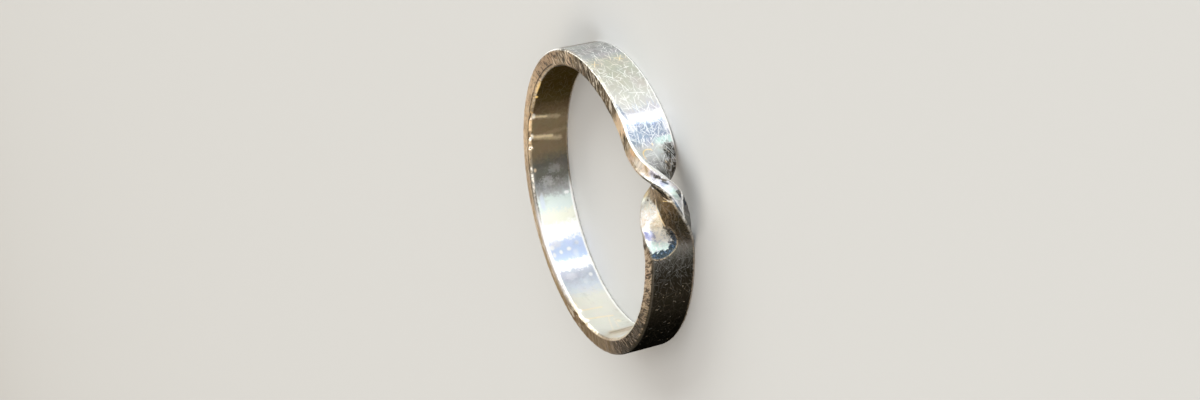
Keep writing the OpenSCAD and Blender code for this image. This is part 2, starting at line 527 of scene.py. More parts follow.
# Stains on the rim where it crosses the twist, in the same columns
crossingStains = {
    "shade": ("rim", (-0.86, 0.22), (0.17, 0.24), 0.5, 1.1, "umber", 0.85),
    "shadeNext": ("rim", (-0.66, 0.27), (0.13, 0.13), 0.5, 1.0, "brown", 0.85),
    "shadeLast": ("rim", (-0.50, 0.14), (0.13, 0.13), 0.5, 1.0, "navy", 0.85),
    "violet": ("rim", (-0.42, -0.12), (0.30, 0.22), 0.9, 0.8, "lavender", 0.7),
    "aqua": ("rim", (0.02, -0.05), (0.42, 0.34), 0.9, 0.4, "aqua", 0.8),
    "navy": ("rim", (0.36, 0.28), (0.42, 0.19), 0.35, 1.1, "navy", 0.92),
    "navyLow": ("rim", (0.66, -0.36), (0.42, 0.14), 0.45, 0.9, "steelBlue", 0.85),
    "navyLowEnd": ("rim", (0.95, -0.42), (0.30, 0.12), 0.45, 0.9, "navy", 0.85),
}

# Painted highlights on the worn edges: hot spots and gold reflections, in the same columns
glints = {
    "hotSpot": ("front", (35.56, -1.26), (0.26, 0.15), 0.9, 0.15, "white", 1.0),
    "hotSpotNext": ("front", (37.37, -1.24), (0.28, 0.17), 0.9, 0.15, "white", 1.0),
    "hotSpotSmall": ("front", (34.73, -1.28), (0.16, 0.10), 0.9, 0.15, "cream", 1.0),
    "warmSpot": ("front", (32.85, -1.14), (0.17, 0.11), 0.9, 0.3, "paleTan", 0.8),
    "goldReflectionBead": ("front", (39.4, -1.26), (0.14, 0.12), 0.7, 0.15, "deepGold", 1.0),
    "goldReflectionWedge": ("front", (40.6, -1.36), (0.85, 0.10), 0.7, 0.3, "deepGold", 1.0),
    "lowSpot": ("front", (19.76, -1.24), (0.30, 0.15), 0.9, 0.15, "white", 1.0),
    "lowSpotNext": ("front", (21.07, -1.22), (0.22, 0.13), 0.9, 0.15, "white", 1.0),
    "lowSpotLast": ("front", (21.8, -1.25), (0.32, 0.12), 0.9, 0.15, "cream", 0.9),
}

# Fine lines on the strip, some of them painted highlights: side, start, end, half width, colour, strength
marks = {
    # painted highlights: lines across the inside where its creases catch the light
    "warmHighlightCrossOn": ("front", (35.5, -1.2), (35.10, 0.8), 0.30, "straw", 0.45),
    "warmHighlightCrossFork": ("front", (35.5, -0.6), (35.85, 1.2), 0.30, "tan", 0.45),
    "warmHighlightCross": ("front", (35.56, -1.3), (35.38, 0.2), 0.19, "straw", 0.8),
    "warmHighlightCrossNextOn": ("front", (37.35, -1.2), (37.02, 0.6), 0.30, "straw", 0.3),
    "warmHighlightCrossNext": ("front", (37.37, -1.3), (37.2, -0.3), 0.18, "straw", 0.7),
    "insideDull": ("front", (16.8, -0.5), (16.5, 1.4), 0.70, "paleTan", 0.8),
    "insideDullLine": ("front", (16.9, -0.75), (17.1, 1.2), 0.16, "warmTan", 0.7),
    "rimStreak": ("rim", (-1.62, 0.40), (-1.02, -0.14), 0.15, "sand", 0.9),
    "rimStreakDark": ("rim", (-1.58, 0.40), (-1.25, 0.08), 0.08, "warmTan", 0.9),
    "rimLower": ("rim", (-1.45, -0.44), (-0.60, -0.40), 0.07, "warmTan", 0.8),
    # painted highlights: pale lines across the inside, from the low hot spots
    "paleHighlightCross": ("front", (19.95, -1.2), (19.6, 0.55), 0.17, "straw", 0.55),
    "paleHighlightCrossNext": ("front", (21.05, -1.2), (20.9, 0.3), 0.15, "straw", 0.45),
    "paleRun": ("front", (17.4, -0.35), (19.6, 0.25), 0.10, "cream", 0.5),
    "paleRunNext": ("front", (17.6, 0.15), (19.2, 0.5), 0.09, "cream", 0.5),
    "blueRun": ("front", (-5.7, 1.32), (-4.60, 1.05), 0.13, "deepBlue", 0.9),
    "goldNick": ("front", (-9.95, -1.0), (-9.35, -0.62), 0.05, "straw", 0.9),
    "goldNickNext": ("front", (-9.75, -0.55), (-9.45, -0.95), 0.05, "gold", 0.8),
    "goldNickTop": ("front", (-9.75, 0.85), (-9.15, 1.15), 0.05, "straw", 0.9),
    "goldNickLast": ("front", (-9.55, 1.2), (-9.3, 0.8), 0.04, "gold", 0.8),
    "twistCut": ("front", (-1.72, 0.02), (-1.42, -0.42), 0.05, "umber", 0.8),
    "twistCutNext": ("front", (-1.5, -0.25), (-1.25, -0.7), 0.04, "umber", 0.7),
    "twistGlint": ("front", (-1.72, -0.35), (-1.62, -0.42), 0.06, "straw", 0.8),
    "emberLine": ("back", (0.75, 1.38), (1.05, 1.42), 0.05, "gold", 0.6),
}

# Lines that lie over the colours of the twist's lower end, among them painted highlights, in the same columns
lateMarks = {
    # painted highlights: a white spot and glints at the neck
    "neckHighlightSpot": ("back", (-0.41, 0.06), (-0.36, 0.36), 0.09, "white", 1.0),
    "neckGlint": ("back", (0.46, 1.30), (0.20, 0.92), 0.06, "straw", 0.9),
    "neckGlintNext": ("back", (0.40, 1.16), (0.36, 0.70), 0.05, "gold", 0.85),
    "neckGlintLast": ("back", (0.42, 1.34), (0.36, 1.12), 0.10, "white", 1.0),
    "creamEdge": ("back", (0.25, 0.03), (0.80, -0.08), 0.07, "straw", 0.8),
    "creamEdgeOn": ("back", (0.80, -0.08), (1.75, 0.06), 0.07, "straw", 0.8),
    "vLeft": ("back", (1.95, -0.28), (2.62, -0.72), 0.12, "white", 0.8),
    "vRight": ("back", (2.12, -0.10), (2.75, -0.14), 0.10, "white", 0.8),
    "pit": ("back", (0.23, -0.74), (0.25, -0.72), 0.08, "shadeAndPitBlack", 1.0),
    "pitNext": ("back", (0.41, -0.47), (0.42, -0.46), 0.06, "umber", 0.9),
    "pitLast": ("back", (0.59, -0.33), (0.60, -0.33), 0.05, "umber", 0.8),
}

# The hollow at the lower end of the twist, bright with polish and a painted reflection, with its dark fringe
hollow = {
    "streamAt": (1.05, -0.75),  # the cream patch that runs into it
    "streamHalf": (1.65, 0.82),
    "fringeIn": 0.86,
    "fringeTeeth": 0.50,
    "lineWide": 0.045,
}

# How the surface is worn
wear = {
    "roughness": 0.40,
    "anisotropy": 0.92,  # the strip was rubbed down along its length
    "grooveDepth": 0.006,  # millimetres
    "strokeDepth": 0.035,
    "pitDepth": 0.02,
}

# Scratches: shift, how many in a millimetre, half length, width, bend, strength
scratchLayers = [
    ((0.0, 0.0), 0.95, 1.00, 0.032, 0.10, 1.0),
    ((7.3, 3.1), 1.25, 0.70, 0.032, 0.15, 1.0),
    ((2.2, 5.7), 1.60, 0.50, 0.030, 0.3, 1.0),
    ((9.4, 1.9), 2.10, 0.34, 0.030, 0.4, 1.0),
    ((3.7, 9.3), 1.45, 0.60, 0.030, 0.2, 1.0),
]
crossHatch = [
    ((4.8, 8.8), 1.8, 0.48, 0.034, 0.2, 1.0),
    ((1.3, 4.4), 2.4, 0.36, 0.034, 0.3, 1.0),
    ((5.6, 0.7), 3.0, 0.28, 0.032, 0.4, 1.0),
]
flecks = [
    ((3.3, 2.9), 1.5, 0.12, 0.070, 1.0, 1.0),
    ((8.1, 6.2), 1.1, 0.18, 0.055, 2.0, 1.0),
]


# One short scratch in each cell of the surface, bent and turned at random
def scratchGroup():
    group = bpy.data.node_groups.new("scratch", "ShaderNodeTree")
    face = group.interface
    face.new_socket("Where", in_out="INPUT", socket_type="NodeSocketVector")
    for name in ("Density", "Length", "Width", "Bend"):
        face.new_socket(name, in_out="INPUT", socket_type="NodeSocketFloat")
    face.new_socket("Scratch", in_out="OUTPUT", socket_type="NodeSocketFloat")
    f = Finish(group)
    start = group.nodes.new("NodeGroupInput").outputs
    end = group.nodes.new("NodeGroupOutput").inputs
    cell = f.node("TexVoronoi", {"Vector": start["Where"], "Scale": start["Density"]}, voronoi_dimensions="2D")
    away = f.vector("SUBTRACT", start["Where"], cell.outputs["Position"])
    offset = f.vector("DOT_PRODUCT", away, (1, 0, 0)), f.vector("DOT_PRODUCT", away, (0, 1, 0))
    chance = f.node("SeparateColor", {0: cell.outputs["Color"]}).outputs
    side = f.sum("SUBTRACT", chance[0], 0.5)
    turn = f.times(side, f.sum("ADD", f.sum("ABSOLUTE", side), 0.5), math.pi)
    cosTurn, sinTurn = f.sum("COSINE", turn), f.sum("SINE", turn)
    lengthways = f.sum("ADD", f.times(offset[0], cosTurn), f.times(offset[1], sinTurn))
    sideways = f.sum("SUBTRACT", f.times(offset[1], cosTurn), f.times(offset[0], sinTurn))
    bend = f.times(f.sum("SUBTRACT", chance[1], 0.5), start["Bend"], lengthways, lengthways)
    apart = f.sum("ABSOLUTE", f.sum("ADD", sideways, bend))
    reach = f.times(start["Length"], f.sum("MULTIPLY_ADD", chance[2], 0.7, 0.3))
    line = f.sum("MAXIMUM", f.other(f.sum("DIVIDE", apart, start["Width"])), 0)
    ends = f.other(f.sum("DIVIDE", f.sum("ABSOLUTE", lengthways), reach))
    strength = f.sum("MULTIPLY_ADD", f.sum("FRACT", f.times(chance[1], 7)), 0.8, 0.4)
    f.feed(end[0], f.times(line, f.soft(ends, 0.0, 0.35), strength))
    return group


# Where the shaded point is on the strip, which side it is on, and the clouds that everything is broken up by
def stripPlace(f):
    s = SimpleNamespace()
    place = f.node("Attribute", attribute_name="stripPlace").outputs["Vector"]
    s.where = f.vector("SCALE", f.node("TexCoord").outputs["Object"], 1 / mm)
    s.level = f.vector("MULTIPLY", s.where, (1, 1, 0))
    s.radius = f.vector("LENGTH", s.level)
    s.slow = f.cloud(s.where, 0.45, 3, 0.55)
    s.cloudy = f.cloud(s.where, 1.6, 4, 0.6)
    s.ragged = f.cloud(s.where, 4.5, 4, 0.7)
    s.fine = f.cloud(s.where, 6.0, 3, 0.6)
    s.grain = f.cloud(s.where, 22.0, 2, 0.6)
    s.drift = f.cloud(s.where, 1.1, 3, 0.6, colour=True)
    s.teeth = f.cloud(f.vector("MULTIPLY", place, (1, 0, 1)), 2.6, 5, 0.68)
    s.streaks = f.cloud(f.vector("MULTIPLY", place, (1.1, 0, 5.5)), 1.0, 4, 0.65, 0.8)
    s.combed = f.cloud(f.vector("MULTIPLY", place, (1.3, 4, 9)), 1.0, 3, 0.6)
    s.strokes = rimStrokes(f, s)
    s.speck = f.node("TexVoronoi", {"Vector": s.where, "Scale": 5.0}).outputs
    s.speckChance = f.node("SeparateColor", {0: s.speck["Color"]}).outputs

    # nothing on a hand-made piece is quite straight
    wander = f.times(f.sum("SUBTRACT", f.sum("ADD", s.slow, s.strokes), 1), 0.02)
    here = f.vector("ADD", place, f.vector("SCALE", (1, 1, 1), wander))
    s.along = f.vector("DOT_PRODUCT", here, (1, 0, 0))
    s.thick = f.vector("DOT_PRODUCT", here, (0, 1, 0))
    s.wide = f.vector("DOT_PRODUCT", here, (0, 0, 1))
    s.onFace = f.vector("MULTIPLY", here, (1, 0, 1))
    s.onRim = f.vector("MULTIPLY", here, (1, 1, 0))
    s.front = f.soft(s.thick, flatThick, halfThick)
    s.back = f.soft(s.thick, -flatThick, -halfThick)
    s.rim = f.soft(f.sum("ABSOLUTE", s.wide), flatWide + 0.04, halfWide)
    s.edge = f.times(
        f.soft(f.sum("ABSOLUTE", s.thick), flatThick - 0.03, flatThick + 0.12),
        f.soft(f.sum("ABSOLUTE", s.wide), flatWide - 0.03, flatWide + 0.12),
    )
    s.inside = f.soft(s.radius, midR + 0.1, midR - 0.1)
    # the dark face past the twist, on the outside: tarnish with painted shade
    s.dark = f.times(f.window(s.along, 3.0, 16.0, 0.6), s.back)

    # the far edges of the outside and of the inside, and the near edge over the top, rubbed bare and painted as
    # highlight lines
    outer = f.times(f.soft(s.wide, -1.28, -1.34), f.soft(s.thick, 0.1, 0.3), f.window(s.along, -14.6, -2.6, 0.3))
    inner = f.times(f.soft(s.wide, 1.18, 1.3), f.soft(s.thick, 0.2, 0.4), f.window(s.along, 15.5, 31.5, 0.8))
    top = f.times(f.soft(s.wide, 1.28, 1.36), f.soft(s.thick, 0.45, 0.50), f.soft(s.along, -13.0, -14.5))
    pastJoint = f.times(f.soft(s.wide, -1.28, -1.36), f.soft(s.thick, -0.45, -0.50), f.soft(s.along, 42.4, 44.2))
    s.farLine = f.most(outer, inner, top, pastJoint)
    return s


def toneColour(f, s):
    shifted = f.wobble(f.wobble(s.along, s.slow, 0.7), s.fine, 0.25)
    cloudy = f.soft(s.along, 15.0, 16.0)
    broken = f.mix(cloudy, s.combed, f.sum("MULTIPLY_ADD", f.sum("SUBTRACT", s.ragged, 0.5), 1.3, 0.5))
    shifted = f.wobble(shifted, broken, 0.9)

    def toneRamp(name):
        return f.ramp(shifted, [(at, colours[tone]) for at, tone in tonesAndPaintedLight[name]])

    front = f.mix(f.soft(s.along, 2.9, 3.1), toneRamp("frontBefore"), toneRamp("frontAfter"))
    rim = f.mix(f.soft(s.along, 30.2, 30.8), toneRamp("rim"), toneRamp("rimLate"))
    return f.mix(s.rim, f.mix(s.back, front, toneRamp("back")), rim)


# A place on the rim or on a broad face, in the same three columns as the strip's own places
def spot(side, at, unused=0):
    return (at[0], at[1], unused) if side == "rim" else (at[0], unused, at[1])


def patch(f, s, side, at, half, soft, rag):
    flat = s.onRim if side == "rim" else s.onFace
    apart = f.apart(flat, spot(side, at), spot(side, half, 1))
    return f.times(f.soft(f.wobble(apart, s.ragged, 2.2 * rag), 1 + soft * 0.3, 1 - soft * 0.7), getattr(s, side))


def addStains(f, s, base, rows):
    for side, at, half, soft, rag, colour, strength in rows.values():
        base = f.mix(f.times(patch(f, s, side, at, half, soft, rag), strength), base, colours[colour])
    return base


def addMarks(f, s, base, rows):
    for side, start, end, half, colour, strength in rows.values():
        apart = f.apartFromLine(s.onRim if side == "rim" else s.onFace, spot(side, start), spot(side, end))
        apart = f.wobble(apart, s.ragged, 1.1 * half)
        line = f.times(f.soft(apart, half, half * 0.1), getattr(s, side), strength)
        base = f.mix(line, base, colours[colour])
    return base


def markColour(f, s, base):
    base = addMarks(f, s, base, marks)

    # violet streaks that run down into the painted glare band above the twist
    streaks = f.times(f.soft(s.combed, 0.52, 0.60), f.window(s.along, -5.6, -4.8, 0.25), s.front)
    base = f.mix(f.times(streaks, 0.6), base, colours["haze"])

    # the gold ring left above the twist
    line = f.soft(f.sum("ABSOLUTE", f.sum("SUBTRACT", f.apart(s.onFace, (-2.02, 0, 0.58)), 0.52)), 0.062, 0.015)
    line = f.times(line, f.soft(s.along, -1.85, -2.0), f.soft(s.wide, 0.2, 0.35), s.front, 0.95)
    return f.mix(line, base, f.mix(f.soft(s.ragged, 0.4, 0.6), colours["gold"], colours["straw"]))


# Streaks that run out of the neck of the twist, and light specks in the patina above it
def streakColour(f, s, base):
    zone = f.times(s.back, f.window(s.along, -0.1, 3.0, 0.4), f.soft(s.wide, 0.0, 0.25))
    base = f.mix(f.times(zone, f.soft(s.streaks, 0.56, 0.68), 0.35), base, colours["tan"])
    base = f.mix(f.times(zone, f.soft(s.ragged, 0.50, 0.38), 0.8), base, colours["umber"])
    base = f.mix(f.times(zone, f.soft(s.grain, 0.54, 0.62), 0.4), base, colours["tan"])
    neck = f.times(s.back, f.window(s.along, -0.3, 0.7, 0.2), f.soft(s.wide, -1.1, -0.7))
    base = f.mix(f.times(neck, f.soft(s.fine, 0.50, 0.40), 0.75), base, colours["brown"])
    dots = f.times(f.soft(s.speck["Distance"], 0.42, 0.22), f.soft(s.speckChance[0], 0.45, 0.55))
    zone = f.times(s.front, f.window(s.along, -2.9, -0.8, 0.2), f.soft(s.wide, 0.1, -0.3))
    return f.mix(f.times(zone, dots, 0.75), base, f.mix(s.speckChance[1], colours["silver"], colours["tan"]))


# The rim where it crosses the twist: bright between two slanting lines, grey past them
def crossingColour(f, s, base):
    first = f.wobble(f.sum("MULTIPLY_ADD", s.thick, 0.86, f.sum("ADD", s.along, 0.97)), s.ragged, 0.15)
    second = f.wobble(f.sum("MULTIPLY_ADD", s.thick, 1.31, f.sum("SUBTRACT", s.along, 0.74)), s.ragged, 0.25)
    near = f.times(s.rim, f.soft(s.wide, 0.0, 0.1), f.soft(s.along, 3.0, 2.6))
    mottle = f.mix(f.soft(s.fine, 0.46, 0.66), colours["silver"], colours["lilac"])
    mottle = f.mix(f.times(f.soft(s.ragged, 0.53, 0.40), 0.7), mottle, colours["dullSilver"])
    mottle = f.mix(f.times(f.soft(s.ragged, 0.44, 0.34), 0.7), mottle, colours["grey"])
    mottle = f.mix(f.soft(s.along, 0.1, -0.4), mottle, f.mix(1, mottle, (0.72, 0.71, 0.75), "MULTIPLY"))
    base = f.mix(f.times(near, f.soft(first, -0.06, 0.06)), base, mottle)
    base = f.mix(f.times(near, f.soft(second, 0.0, 0.12)), base, f.mix(s.fine, colours["umber"], colours["grey"]))
    base = addStains(f, s, base, crossingStains)
    # a painted highlight along the second line
    base = f.mix(f.times(near, f.soft(f.sum("ABSOLUTE", second), 0.14, 0.05)), base, colours["white"])

    # a thin painted highlight along its lower edge, and painted shade along the crease below that
    across = f.times(f.soft(s.wide, 1.15, 1.3), f.window(s.along, -1.0, 1.3, 0.15))
    low = f.times(f.window(s.thick, -0.36, -0.25, 0.04), across)
    base = f.mix(f.times(low, 0.85), base, colours["white"])
    past = f.sum("MULTIPLY_ADD", s.wide, -0.2, f.wobble(s.along, s.ragged, 0.15))
    past = f.sum("MULTIPLY_ADD", f.sum("MAXIMUM", f.sum("SUBTRACT", s.wide, 0.72), 0), -0.6, past)
    creviceShade = f.times(f.soft(s.thick, -0.37, -0.44), f.soft(past, -0.40, -0.48), f.soft(s.along, -1.2, -1.0))
    return f.mix(f.times(creviceShade, 0.95), base, colours["shadeAndPitBlack"])


# The cream stream, the hollow's polish and painted reflection, its dark fringe and the gold line at the twist's lower
# end
def hollowColour(f, s, base):
    spoonAt, spoonRadius = handWork["spoonAt"], handWork["spoonRadius"]
    stream = patch(f, s, "back", hollow["streamAt"], hollow["streamHalf"], 0.12, 0.16)
    slant = f.sum("MULTIPLY_ADD", f.sum("MAXIMUM", f.sum("ADD", s.wide, 0.6), 0), -0.9, f.wobble(s.along, s.ragged, 0.8))
    stream = f.times(stream, f.soft(slant, -0.1, 0.35))
    creamy = f.mix(f.soft(s.ragged, 0.40, 0.62), colours["shell"], colours["white"])
    creamy = f.mix(f.times(f.soft(s.fine, 0.50, 0.58), 0.45), creamy, colours["peach"])
    creamy = f.mix(f.times(f.soft(s.grain, 0.46, 0.36), 0.6), creamy, colours["paleTan"])
    creamy = f.mix(f.times(f.soft(s.cloudy, 0.46, 0.34), 0.6), creamy, colours["dullSilver"])
    corner = f.times(f.soft(s.along, 1.15, 0.35), f.soft(s.wide, -0.35, -0.75))
    creamy = f.mix(f.times(corner, f.soft(s.ragged, 0.35, 0.5), 0.85), creamy, colours["sage"])
    creamy = f.mix(f.times(f.soft(s.along, 0.7, 0.1), f.soft(s.wide, -0.6, -0.2), 0.8), creamy, colours["tan"])
    base = f.mix(stream, base, creamy)
    fromSpoon = f.apart(s.onFace, spot("back", spoonAt))
    toothed = f.wobble(fromSpoon, s.teeth, 2.6 * hollow["fringeTeeth"])
    bowl = f.times(f.soft(f.wobble(fromSpoon, s.fine, 0.12), spoonRadius, spoonRadius - 0.05), s.back)
    polishAndReflection = f.mix(f.soft(s.ragged, 0.36, 0.56), colours["haze"], colours["white"])
    base = f.mix(f.times(bowl, f.soft(f.wobble(s.along, s.fine, 0.8), 1.7, 2.1)), base, polishAndReflection)
    pool = f.soft(f.sum("MULTIPLY_ADD", s.wide, -0.35, f.wobble(s.along, s.ragged, 0.35)), 2.8, 3.1)
    base = f.mix(f.times(bowl, pool, f.soft(s.fine, 0.62, 0.5), 0.9), base, colours["aqua"])
    shade = patch(f, s, "back", (2.30, -1.06), (0.36, 0.40), 0.5, 1.3)
    base = f.mix(f.times(shade, 0.9), base, colours["violet"])
    shade = patch(f, s, "back", (2.27, -1.25), (0.32, 0.24), 0.9, 0.8)
    base = f.mix(f.times(shade, 0.85), base, colours["deepViolet"])
    rightSide = f.most(f.soft(s.along, 2.35, 2.7), f.times(f.soft(s.wide, -0.1, 0.15), f.soft(s.along, 1.65, 1.95)))
    fringe = f.times(f.soft(toothed, hollow["fringeIn"], hollow["fringeIn"] + 0.08), bowl, rightSide)
    depths = f.mix(f.soft(s.fine, 0.52, 0.68), colours["navy"], colours["steelBlue"])
    depths = f.mix(f.soft(s.along, 2.2, 1.75), depths, f.mix(f.soft(s.grain, 0.45, 0.6), colours["umber"], colours["tan"]))
    base = f.mix(f.times(fringe, 0.95), base, depths)
    grit = f.times(patch(f, s, "back", (2.15, 0.10), (0.50, 0.34), 0.8, 1.2), f.soft(s.grain, 0.52, 0.45))
    base = f.mix(f.times(grit, 0.9), base, f.mix(f.soft(s.fine, 0.5, 0.6), colours["umber"], colours["tan"]))
    line = f.sum("ABSOLUTE", f.sum("SUBTRACT", f.wobble(fromSpoon, s.ragged, 0.2), spoonRadius + 0.04))
    line = f.times(f.soft(line, hollow["lineWide"], 0.01), rightSide, s.back, f.soft(s.ragged, 0.36, 0.52))
    base = f.mix(f.times(line, 0.8), base, colours["paleTan"])
    return addMarks(f, s, base, lateMarks)


# Bright lines along the edges: wear, and painted highlights where the rounded edges catch the light
def edgeColour(f, s, base):
    # the near edge over the outside: wear with a painted highlight
    fromRim = f.sum("SUBTRACT", halfWide, s.wide)
    reach = f.sum("MULTIPLY_ADD", f.soft(s.along, -6.0, -2.2), 0.10, 0.05)
    reach = f.sum("MULTIPLY_ADD", f.soft(s.along, -1.9, -0.9), 0.35, reach)
    wornEdgeHighlight = f.soft(f.sum("DIVIDE", f.wobble(fromRim, s.fine, 0.04), reach), 1.15, 0.75)
    wornEdgeHighlight = f.times(wornEdgeHighlight, f.soft(s.thick, 0.46, 0.50), f.window(s.along, -14.9, 0.4, 0.3))
    base = f.mix(f.times(wornEdgeHighlight, 0.95), base, colours["white"])

    # inner edge of the near rim, past the twist: a painted highlight, coloured after the reflections along it
    innerStep = f.sum("ADD", s.wide, halfWide)
    inner = f.times(f.soft(s.thick, 0.36, 0.44), f.soft(s.along, 8.0, 9.5))
    innerStep = f.sum("MULTIPLY_ADD", f.soft(s.along, 23.0, 19.0), 0.12, innerStep)
    bright = f.times(f.soft(f.wobble(innerStep, s.ragged, 0.16), 0.25, 0.14), inner, f.soft(s.along, 41.6, 39.6))
    warm = f.ramp(s.along, [
        (8.0, colours["cream"]), (16.0, colours["paleTan"]), (22.5, colours["warmShell"]), (25.0, colours["frost"]),
        (28.4, colours["frost"]), (29.2, colours["grey"]), (30.0, colours["slate"]), (33.0, colours["darkSlate"]),
        (33.9, colours["tan"]), (34.8, colours["peach"]), (37.3, colours["peach"]), (37.8, colours["warmTan"]),
        (41.5, colours["warmTan"]),
    ])
    base = f.mix(f.times(bright, 0.95), base, warm)
    darkLine = f.times(f.window(s.thick, 0.29, 0.39, 0.03), f.soft(s.wide, -1.35, -1.42), f.soft(s.along, 27.0, 31.0))
    base = f.mix(f.times(darkLine, f.soft(s.ragged, 0.3, 0.45), 0.85), base, colours["umber"])
    # painted highlights: frost on the rim beside the inside's glare bands, and cream along the lower inner edge
    rimHighlight = f.times(f.soft(s.thick, -0.05, 0.5), s.rim, f.soft(s.wide, 0, -0.1), f.window(s.along, 22.5, 30.2, 1.2))
    base = f.mix(f.times(rimHighlight, 0.6), base, colours["frost"])
    lowEdgeHighlight = f.times(f.soft(s.thick, 0.36, 0.46), f.soft(s.wide, -1.2, -1.3), f.window(s.along, 4.0, 15.5, 0.6))
    base = f.mix(f.times(lowEdgeHighlight, f.soft(s.ragged, 0.3, 0.5), 0.9), base, colours["cream"])

    seam = f.times(f.window(s.thick, -0.56, -0.44, 0.03), f.soft(s.wide, -1.27, -1.35), f.window(s.along, 3.7, 12.5, 0.5))
    base = f.mix(f.times(seam, 0.9), base, colours["umber"])
    # painted highlights on the edges
    base = addStains(f, s, base, glints)
    # painted highlight along the far edges, over their wear
    base = f.mix(s.farLine, base, colours["white"])

    # elsewhere the edges are only a little brighter; along the dark face one is dark and one is tan
    dark = f.times(f.soft(s.thick, 0.2, -0.2), f.soft(s.along, 2.4, 3.2), f.soft(s.along, 18.0, 15.0))
    worn = f.times(s.edge, f.soft(s.fine, 0.35, 0.6), f.sum("SUBTRACT", 0.35, f.times(0.25, f.soft(s.along, -4.0, -6.0))))
    sides = f.mix(f.soft(s.wide, 0, -0.1), colours["paleTan"], colours["umber"])
    return f.mix(worn, base, f.mix(dark, colours["cream"], sides))


# Scratches, and how strongly each stretch of the strip shows them
def scratchMarks(f, s, group):
    def layer(rows):
        lines = []
        for shift, density, length, width, bend, strength in rows:
            made = f.node("Group", node_tree=group)
            at = f.vector("ADD", flat, (*shift, 0))
            inputs = {"Where": at, "Density": density, "Length": length, "Width": width, "Bend": bend}
            for name, value in inputs.items():
                f.feed(made.inputs[name], value)
            lines.append(f.times(made.outputs[0], strength))
        return f.most(*lines)

    flat = f.node("CombineXYZ", {"X": s.along, "Y": f.sum("MULTIPLY_ADD", s.back, 13.1, s.wide)}).outputs[0]
    lines = layer(scratchLayers)
    hatched = layer(crossHatch)
    flecked = f.soft(layer(flecks), 0.45, 0.8)
    bluePart = f.times(f.window(s.along, -4.6, -2.7, 0.3), s.front)
    extra = f.times(hatched, f.most(bluePart, f.times(f.window(s.along, 3.4, 5.2, 0.6), s.back, 0.5)))
    fade = f.times(s.dark, f.sum("MULTIPLY_ADD", f.soft(s.along, 4.8, 8.4), 0.4, 0.5))
    most = f.most(f.times(lines, f.other(fade)), extra, f.times(flecked, s.dark))
    few = f.sum("MULTIPLY_ADD", f.times(s.back, f.soft(s.along, 3.4, 2.8)), -0.85, 1.0)
    few = f.sum("MULTIPLY_ADD", f.times(s.front, f.soft(s.along, -2.7, -2.1)), -0.25, few)
    few = f.sum("MULTIPLY_ADD", f.times(s.back, f.soft(s.along, 14.0, 17.0)), -0.45, few)
    few = f.sum("MULTIPLY_ADD", f.times(s.back, f.window(s.along, 14.0, 18.5, 1.6)), -0.4, few)
    few = f.sum("MULTIPLY_ADD", f.times(s.front, f.soft(s.along, -13.2, -14.2)), -0.6, few)
    shown = f.times(most, f.other(s.rim), f.sum("MULTIPLY_ADD", s.inside, -0.96, 1.0), few)
    return f.sum("MINIMUM", shown, 1)


# File strokes, slanting over the rims
def rimStrokes(f, s):
    azimuth = f.vector("NORMALIZE", s.level)
    slant = f.times(f.sum("SUBTRACT", s.radius, midR), -0.085)
    turned = f.node("VectorRotate", {"Vector": azimuth, "Angle": slant}, rotation_type="Z_AXIS").outputs[0]
    strokeWhere = f.vector("ADD", f.vector("SCALE", turned, midR * 4.2), f.vector("SCALE", (0, 0, 1.9), s.radius))
    return f.cloud(strokeWhere, 1.0, 4, 0.62, 0.9)


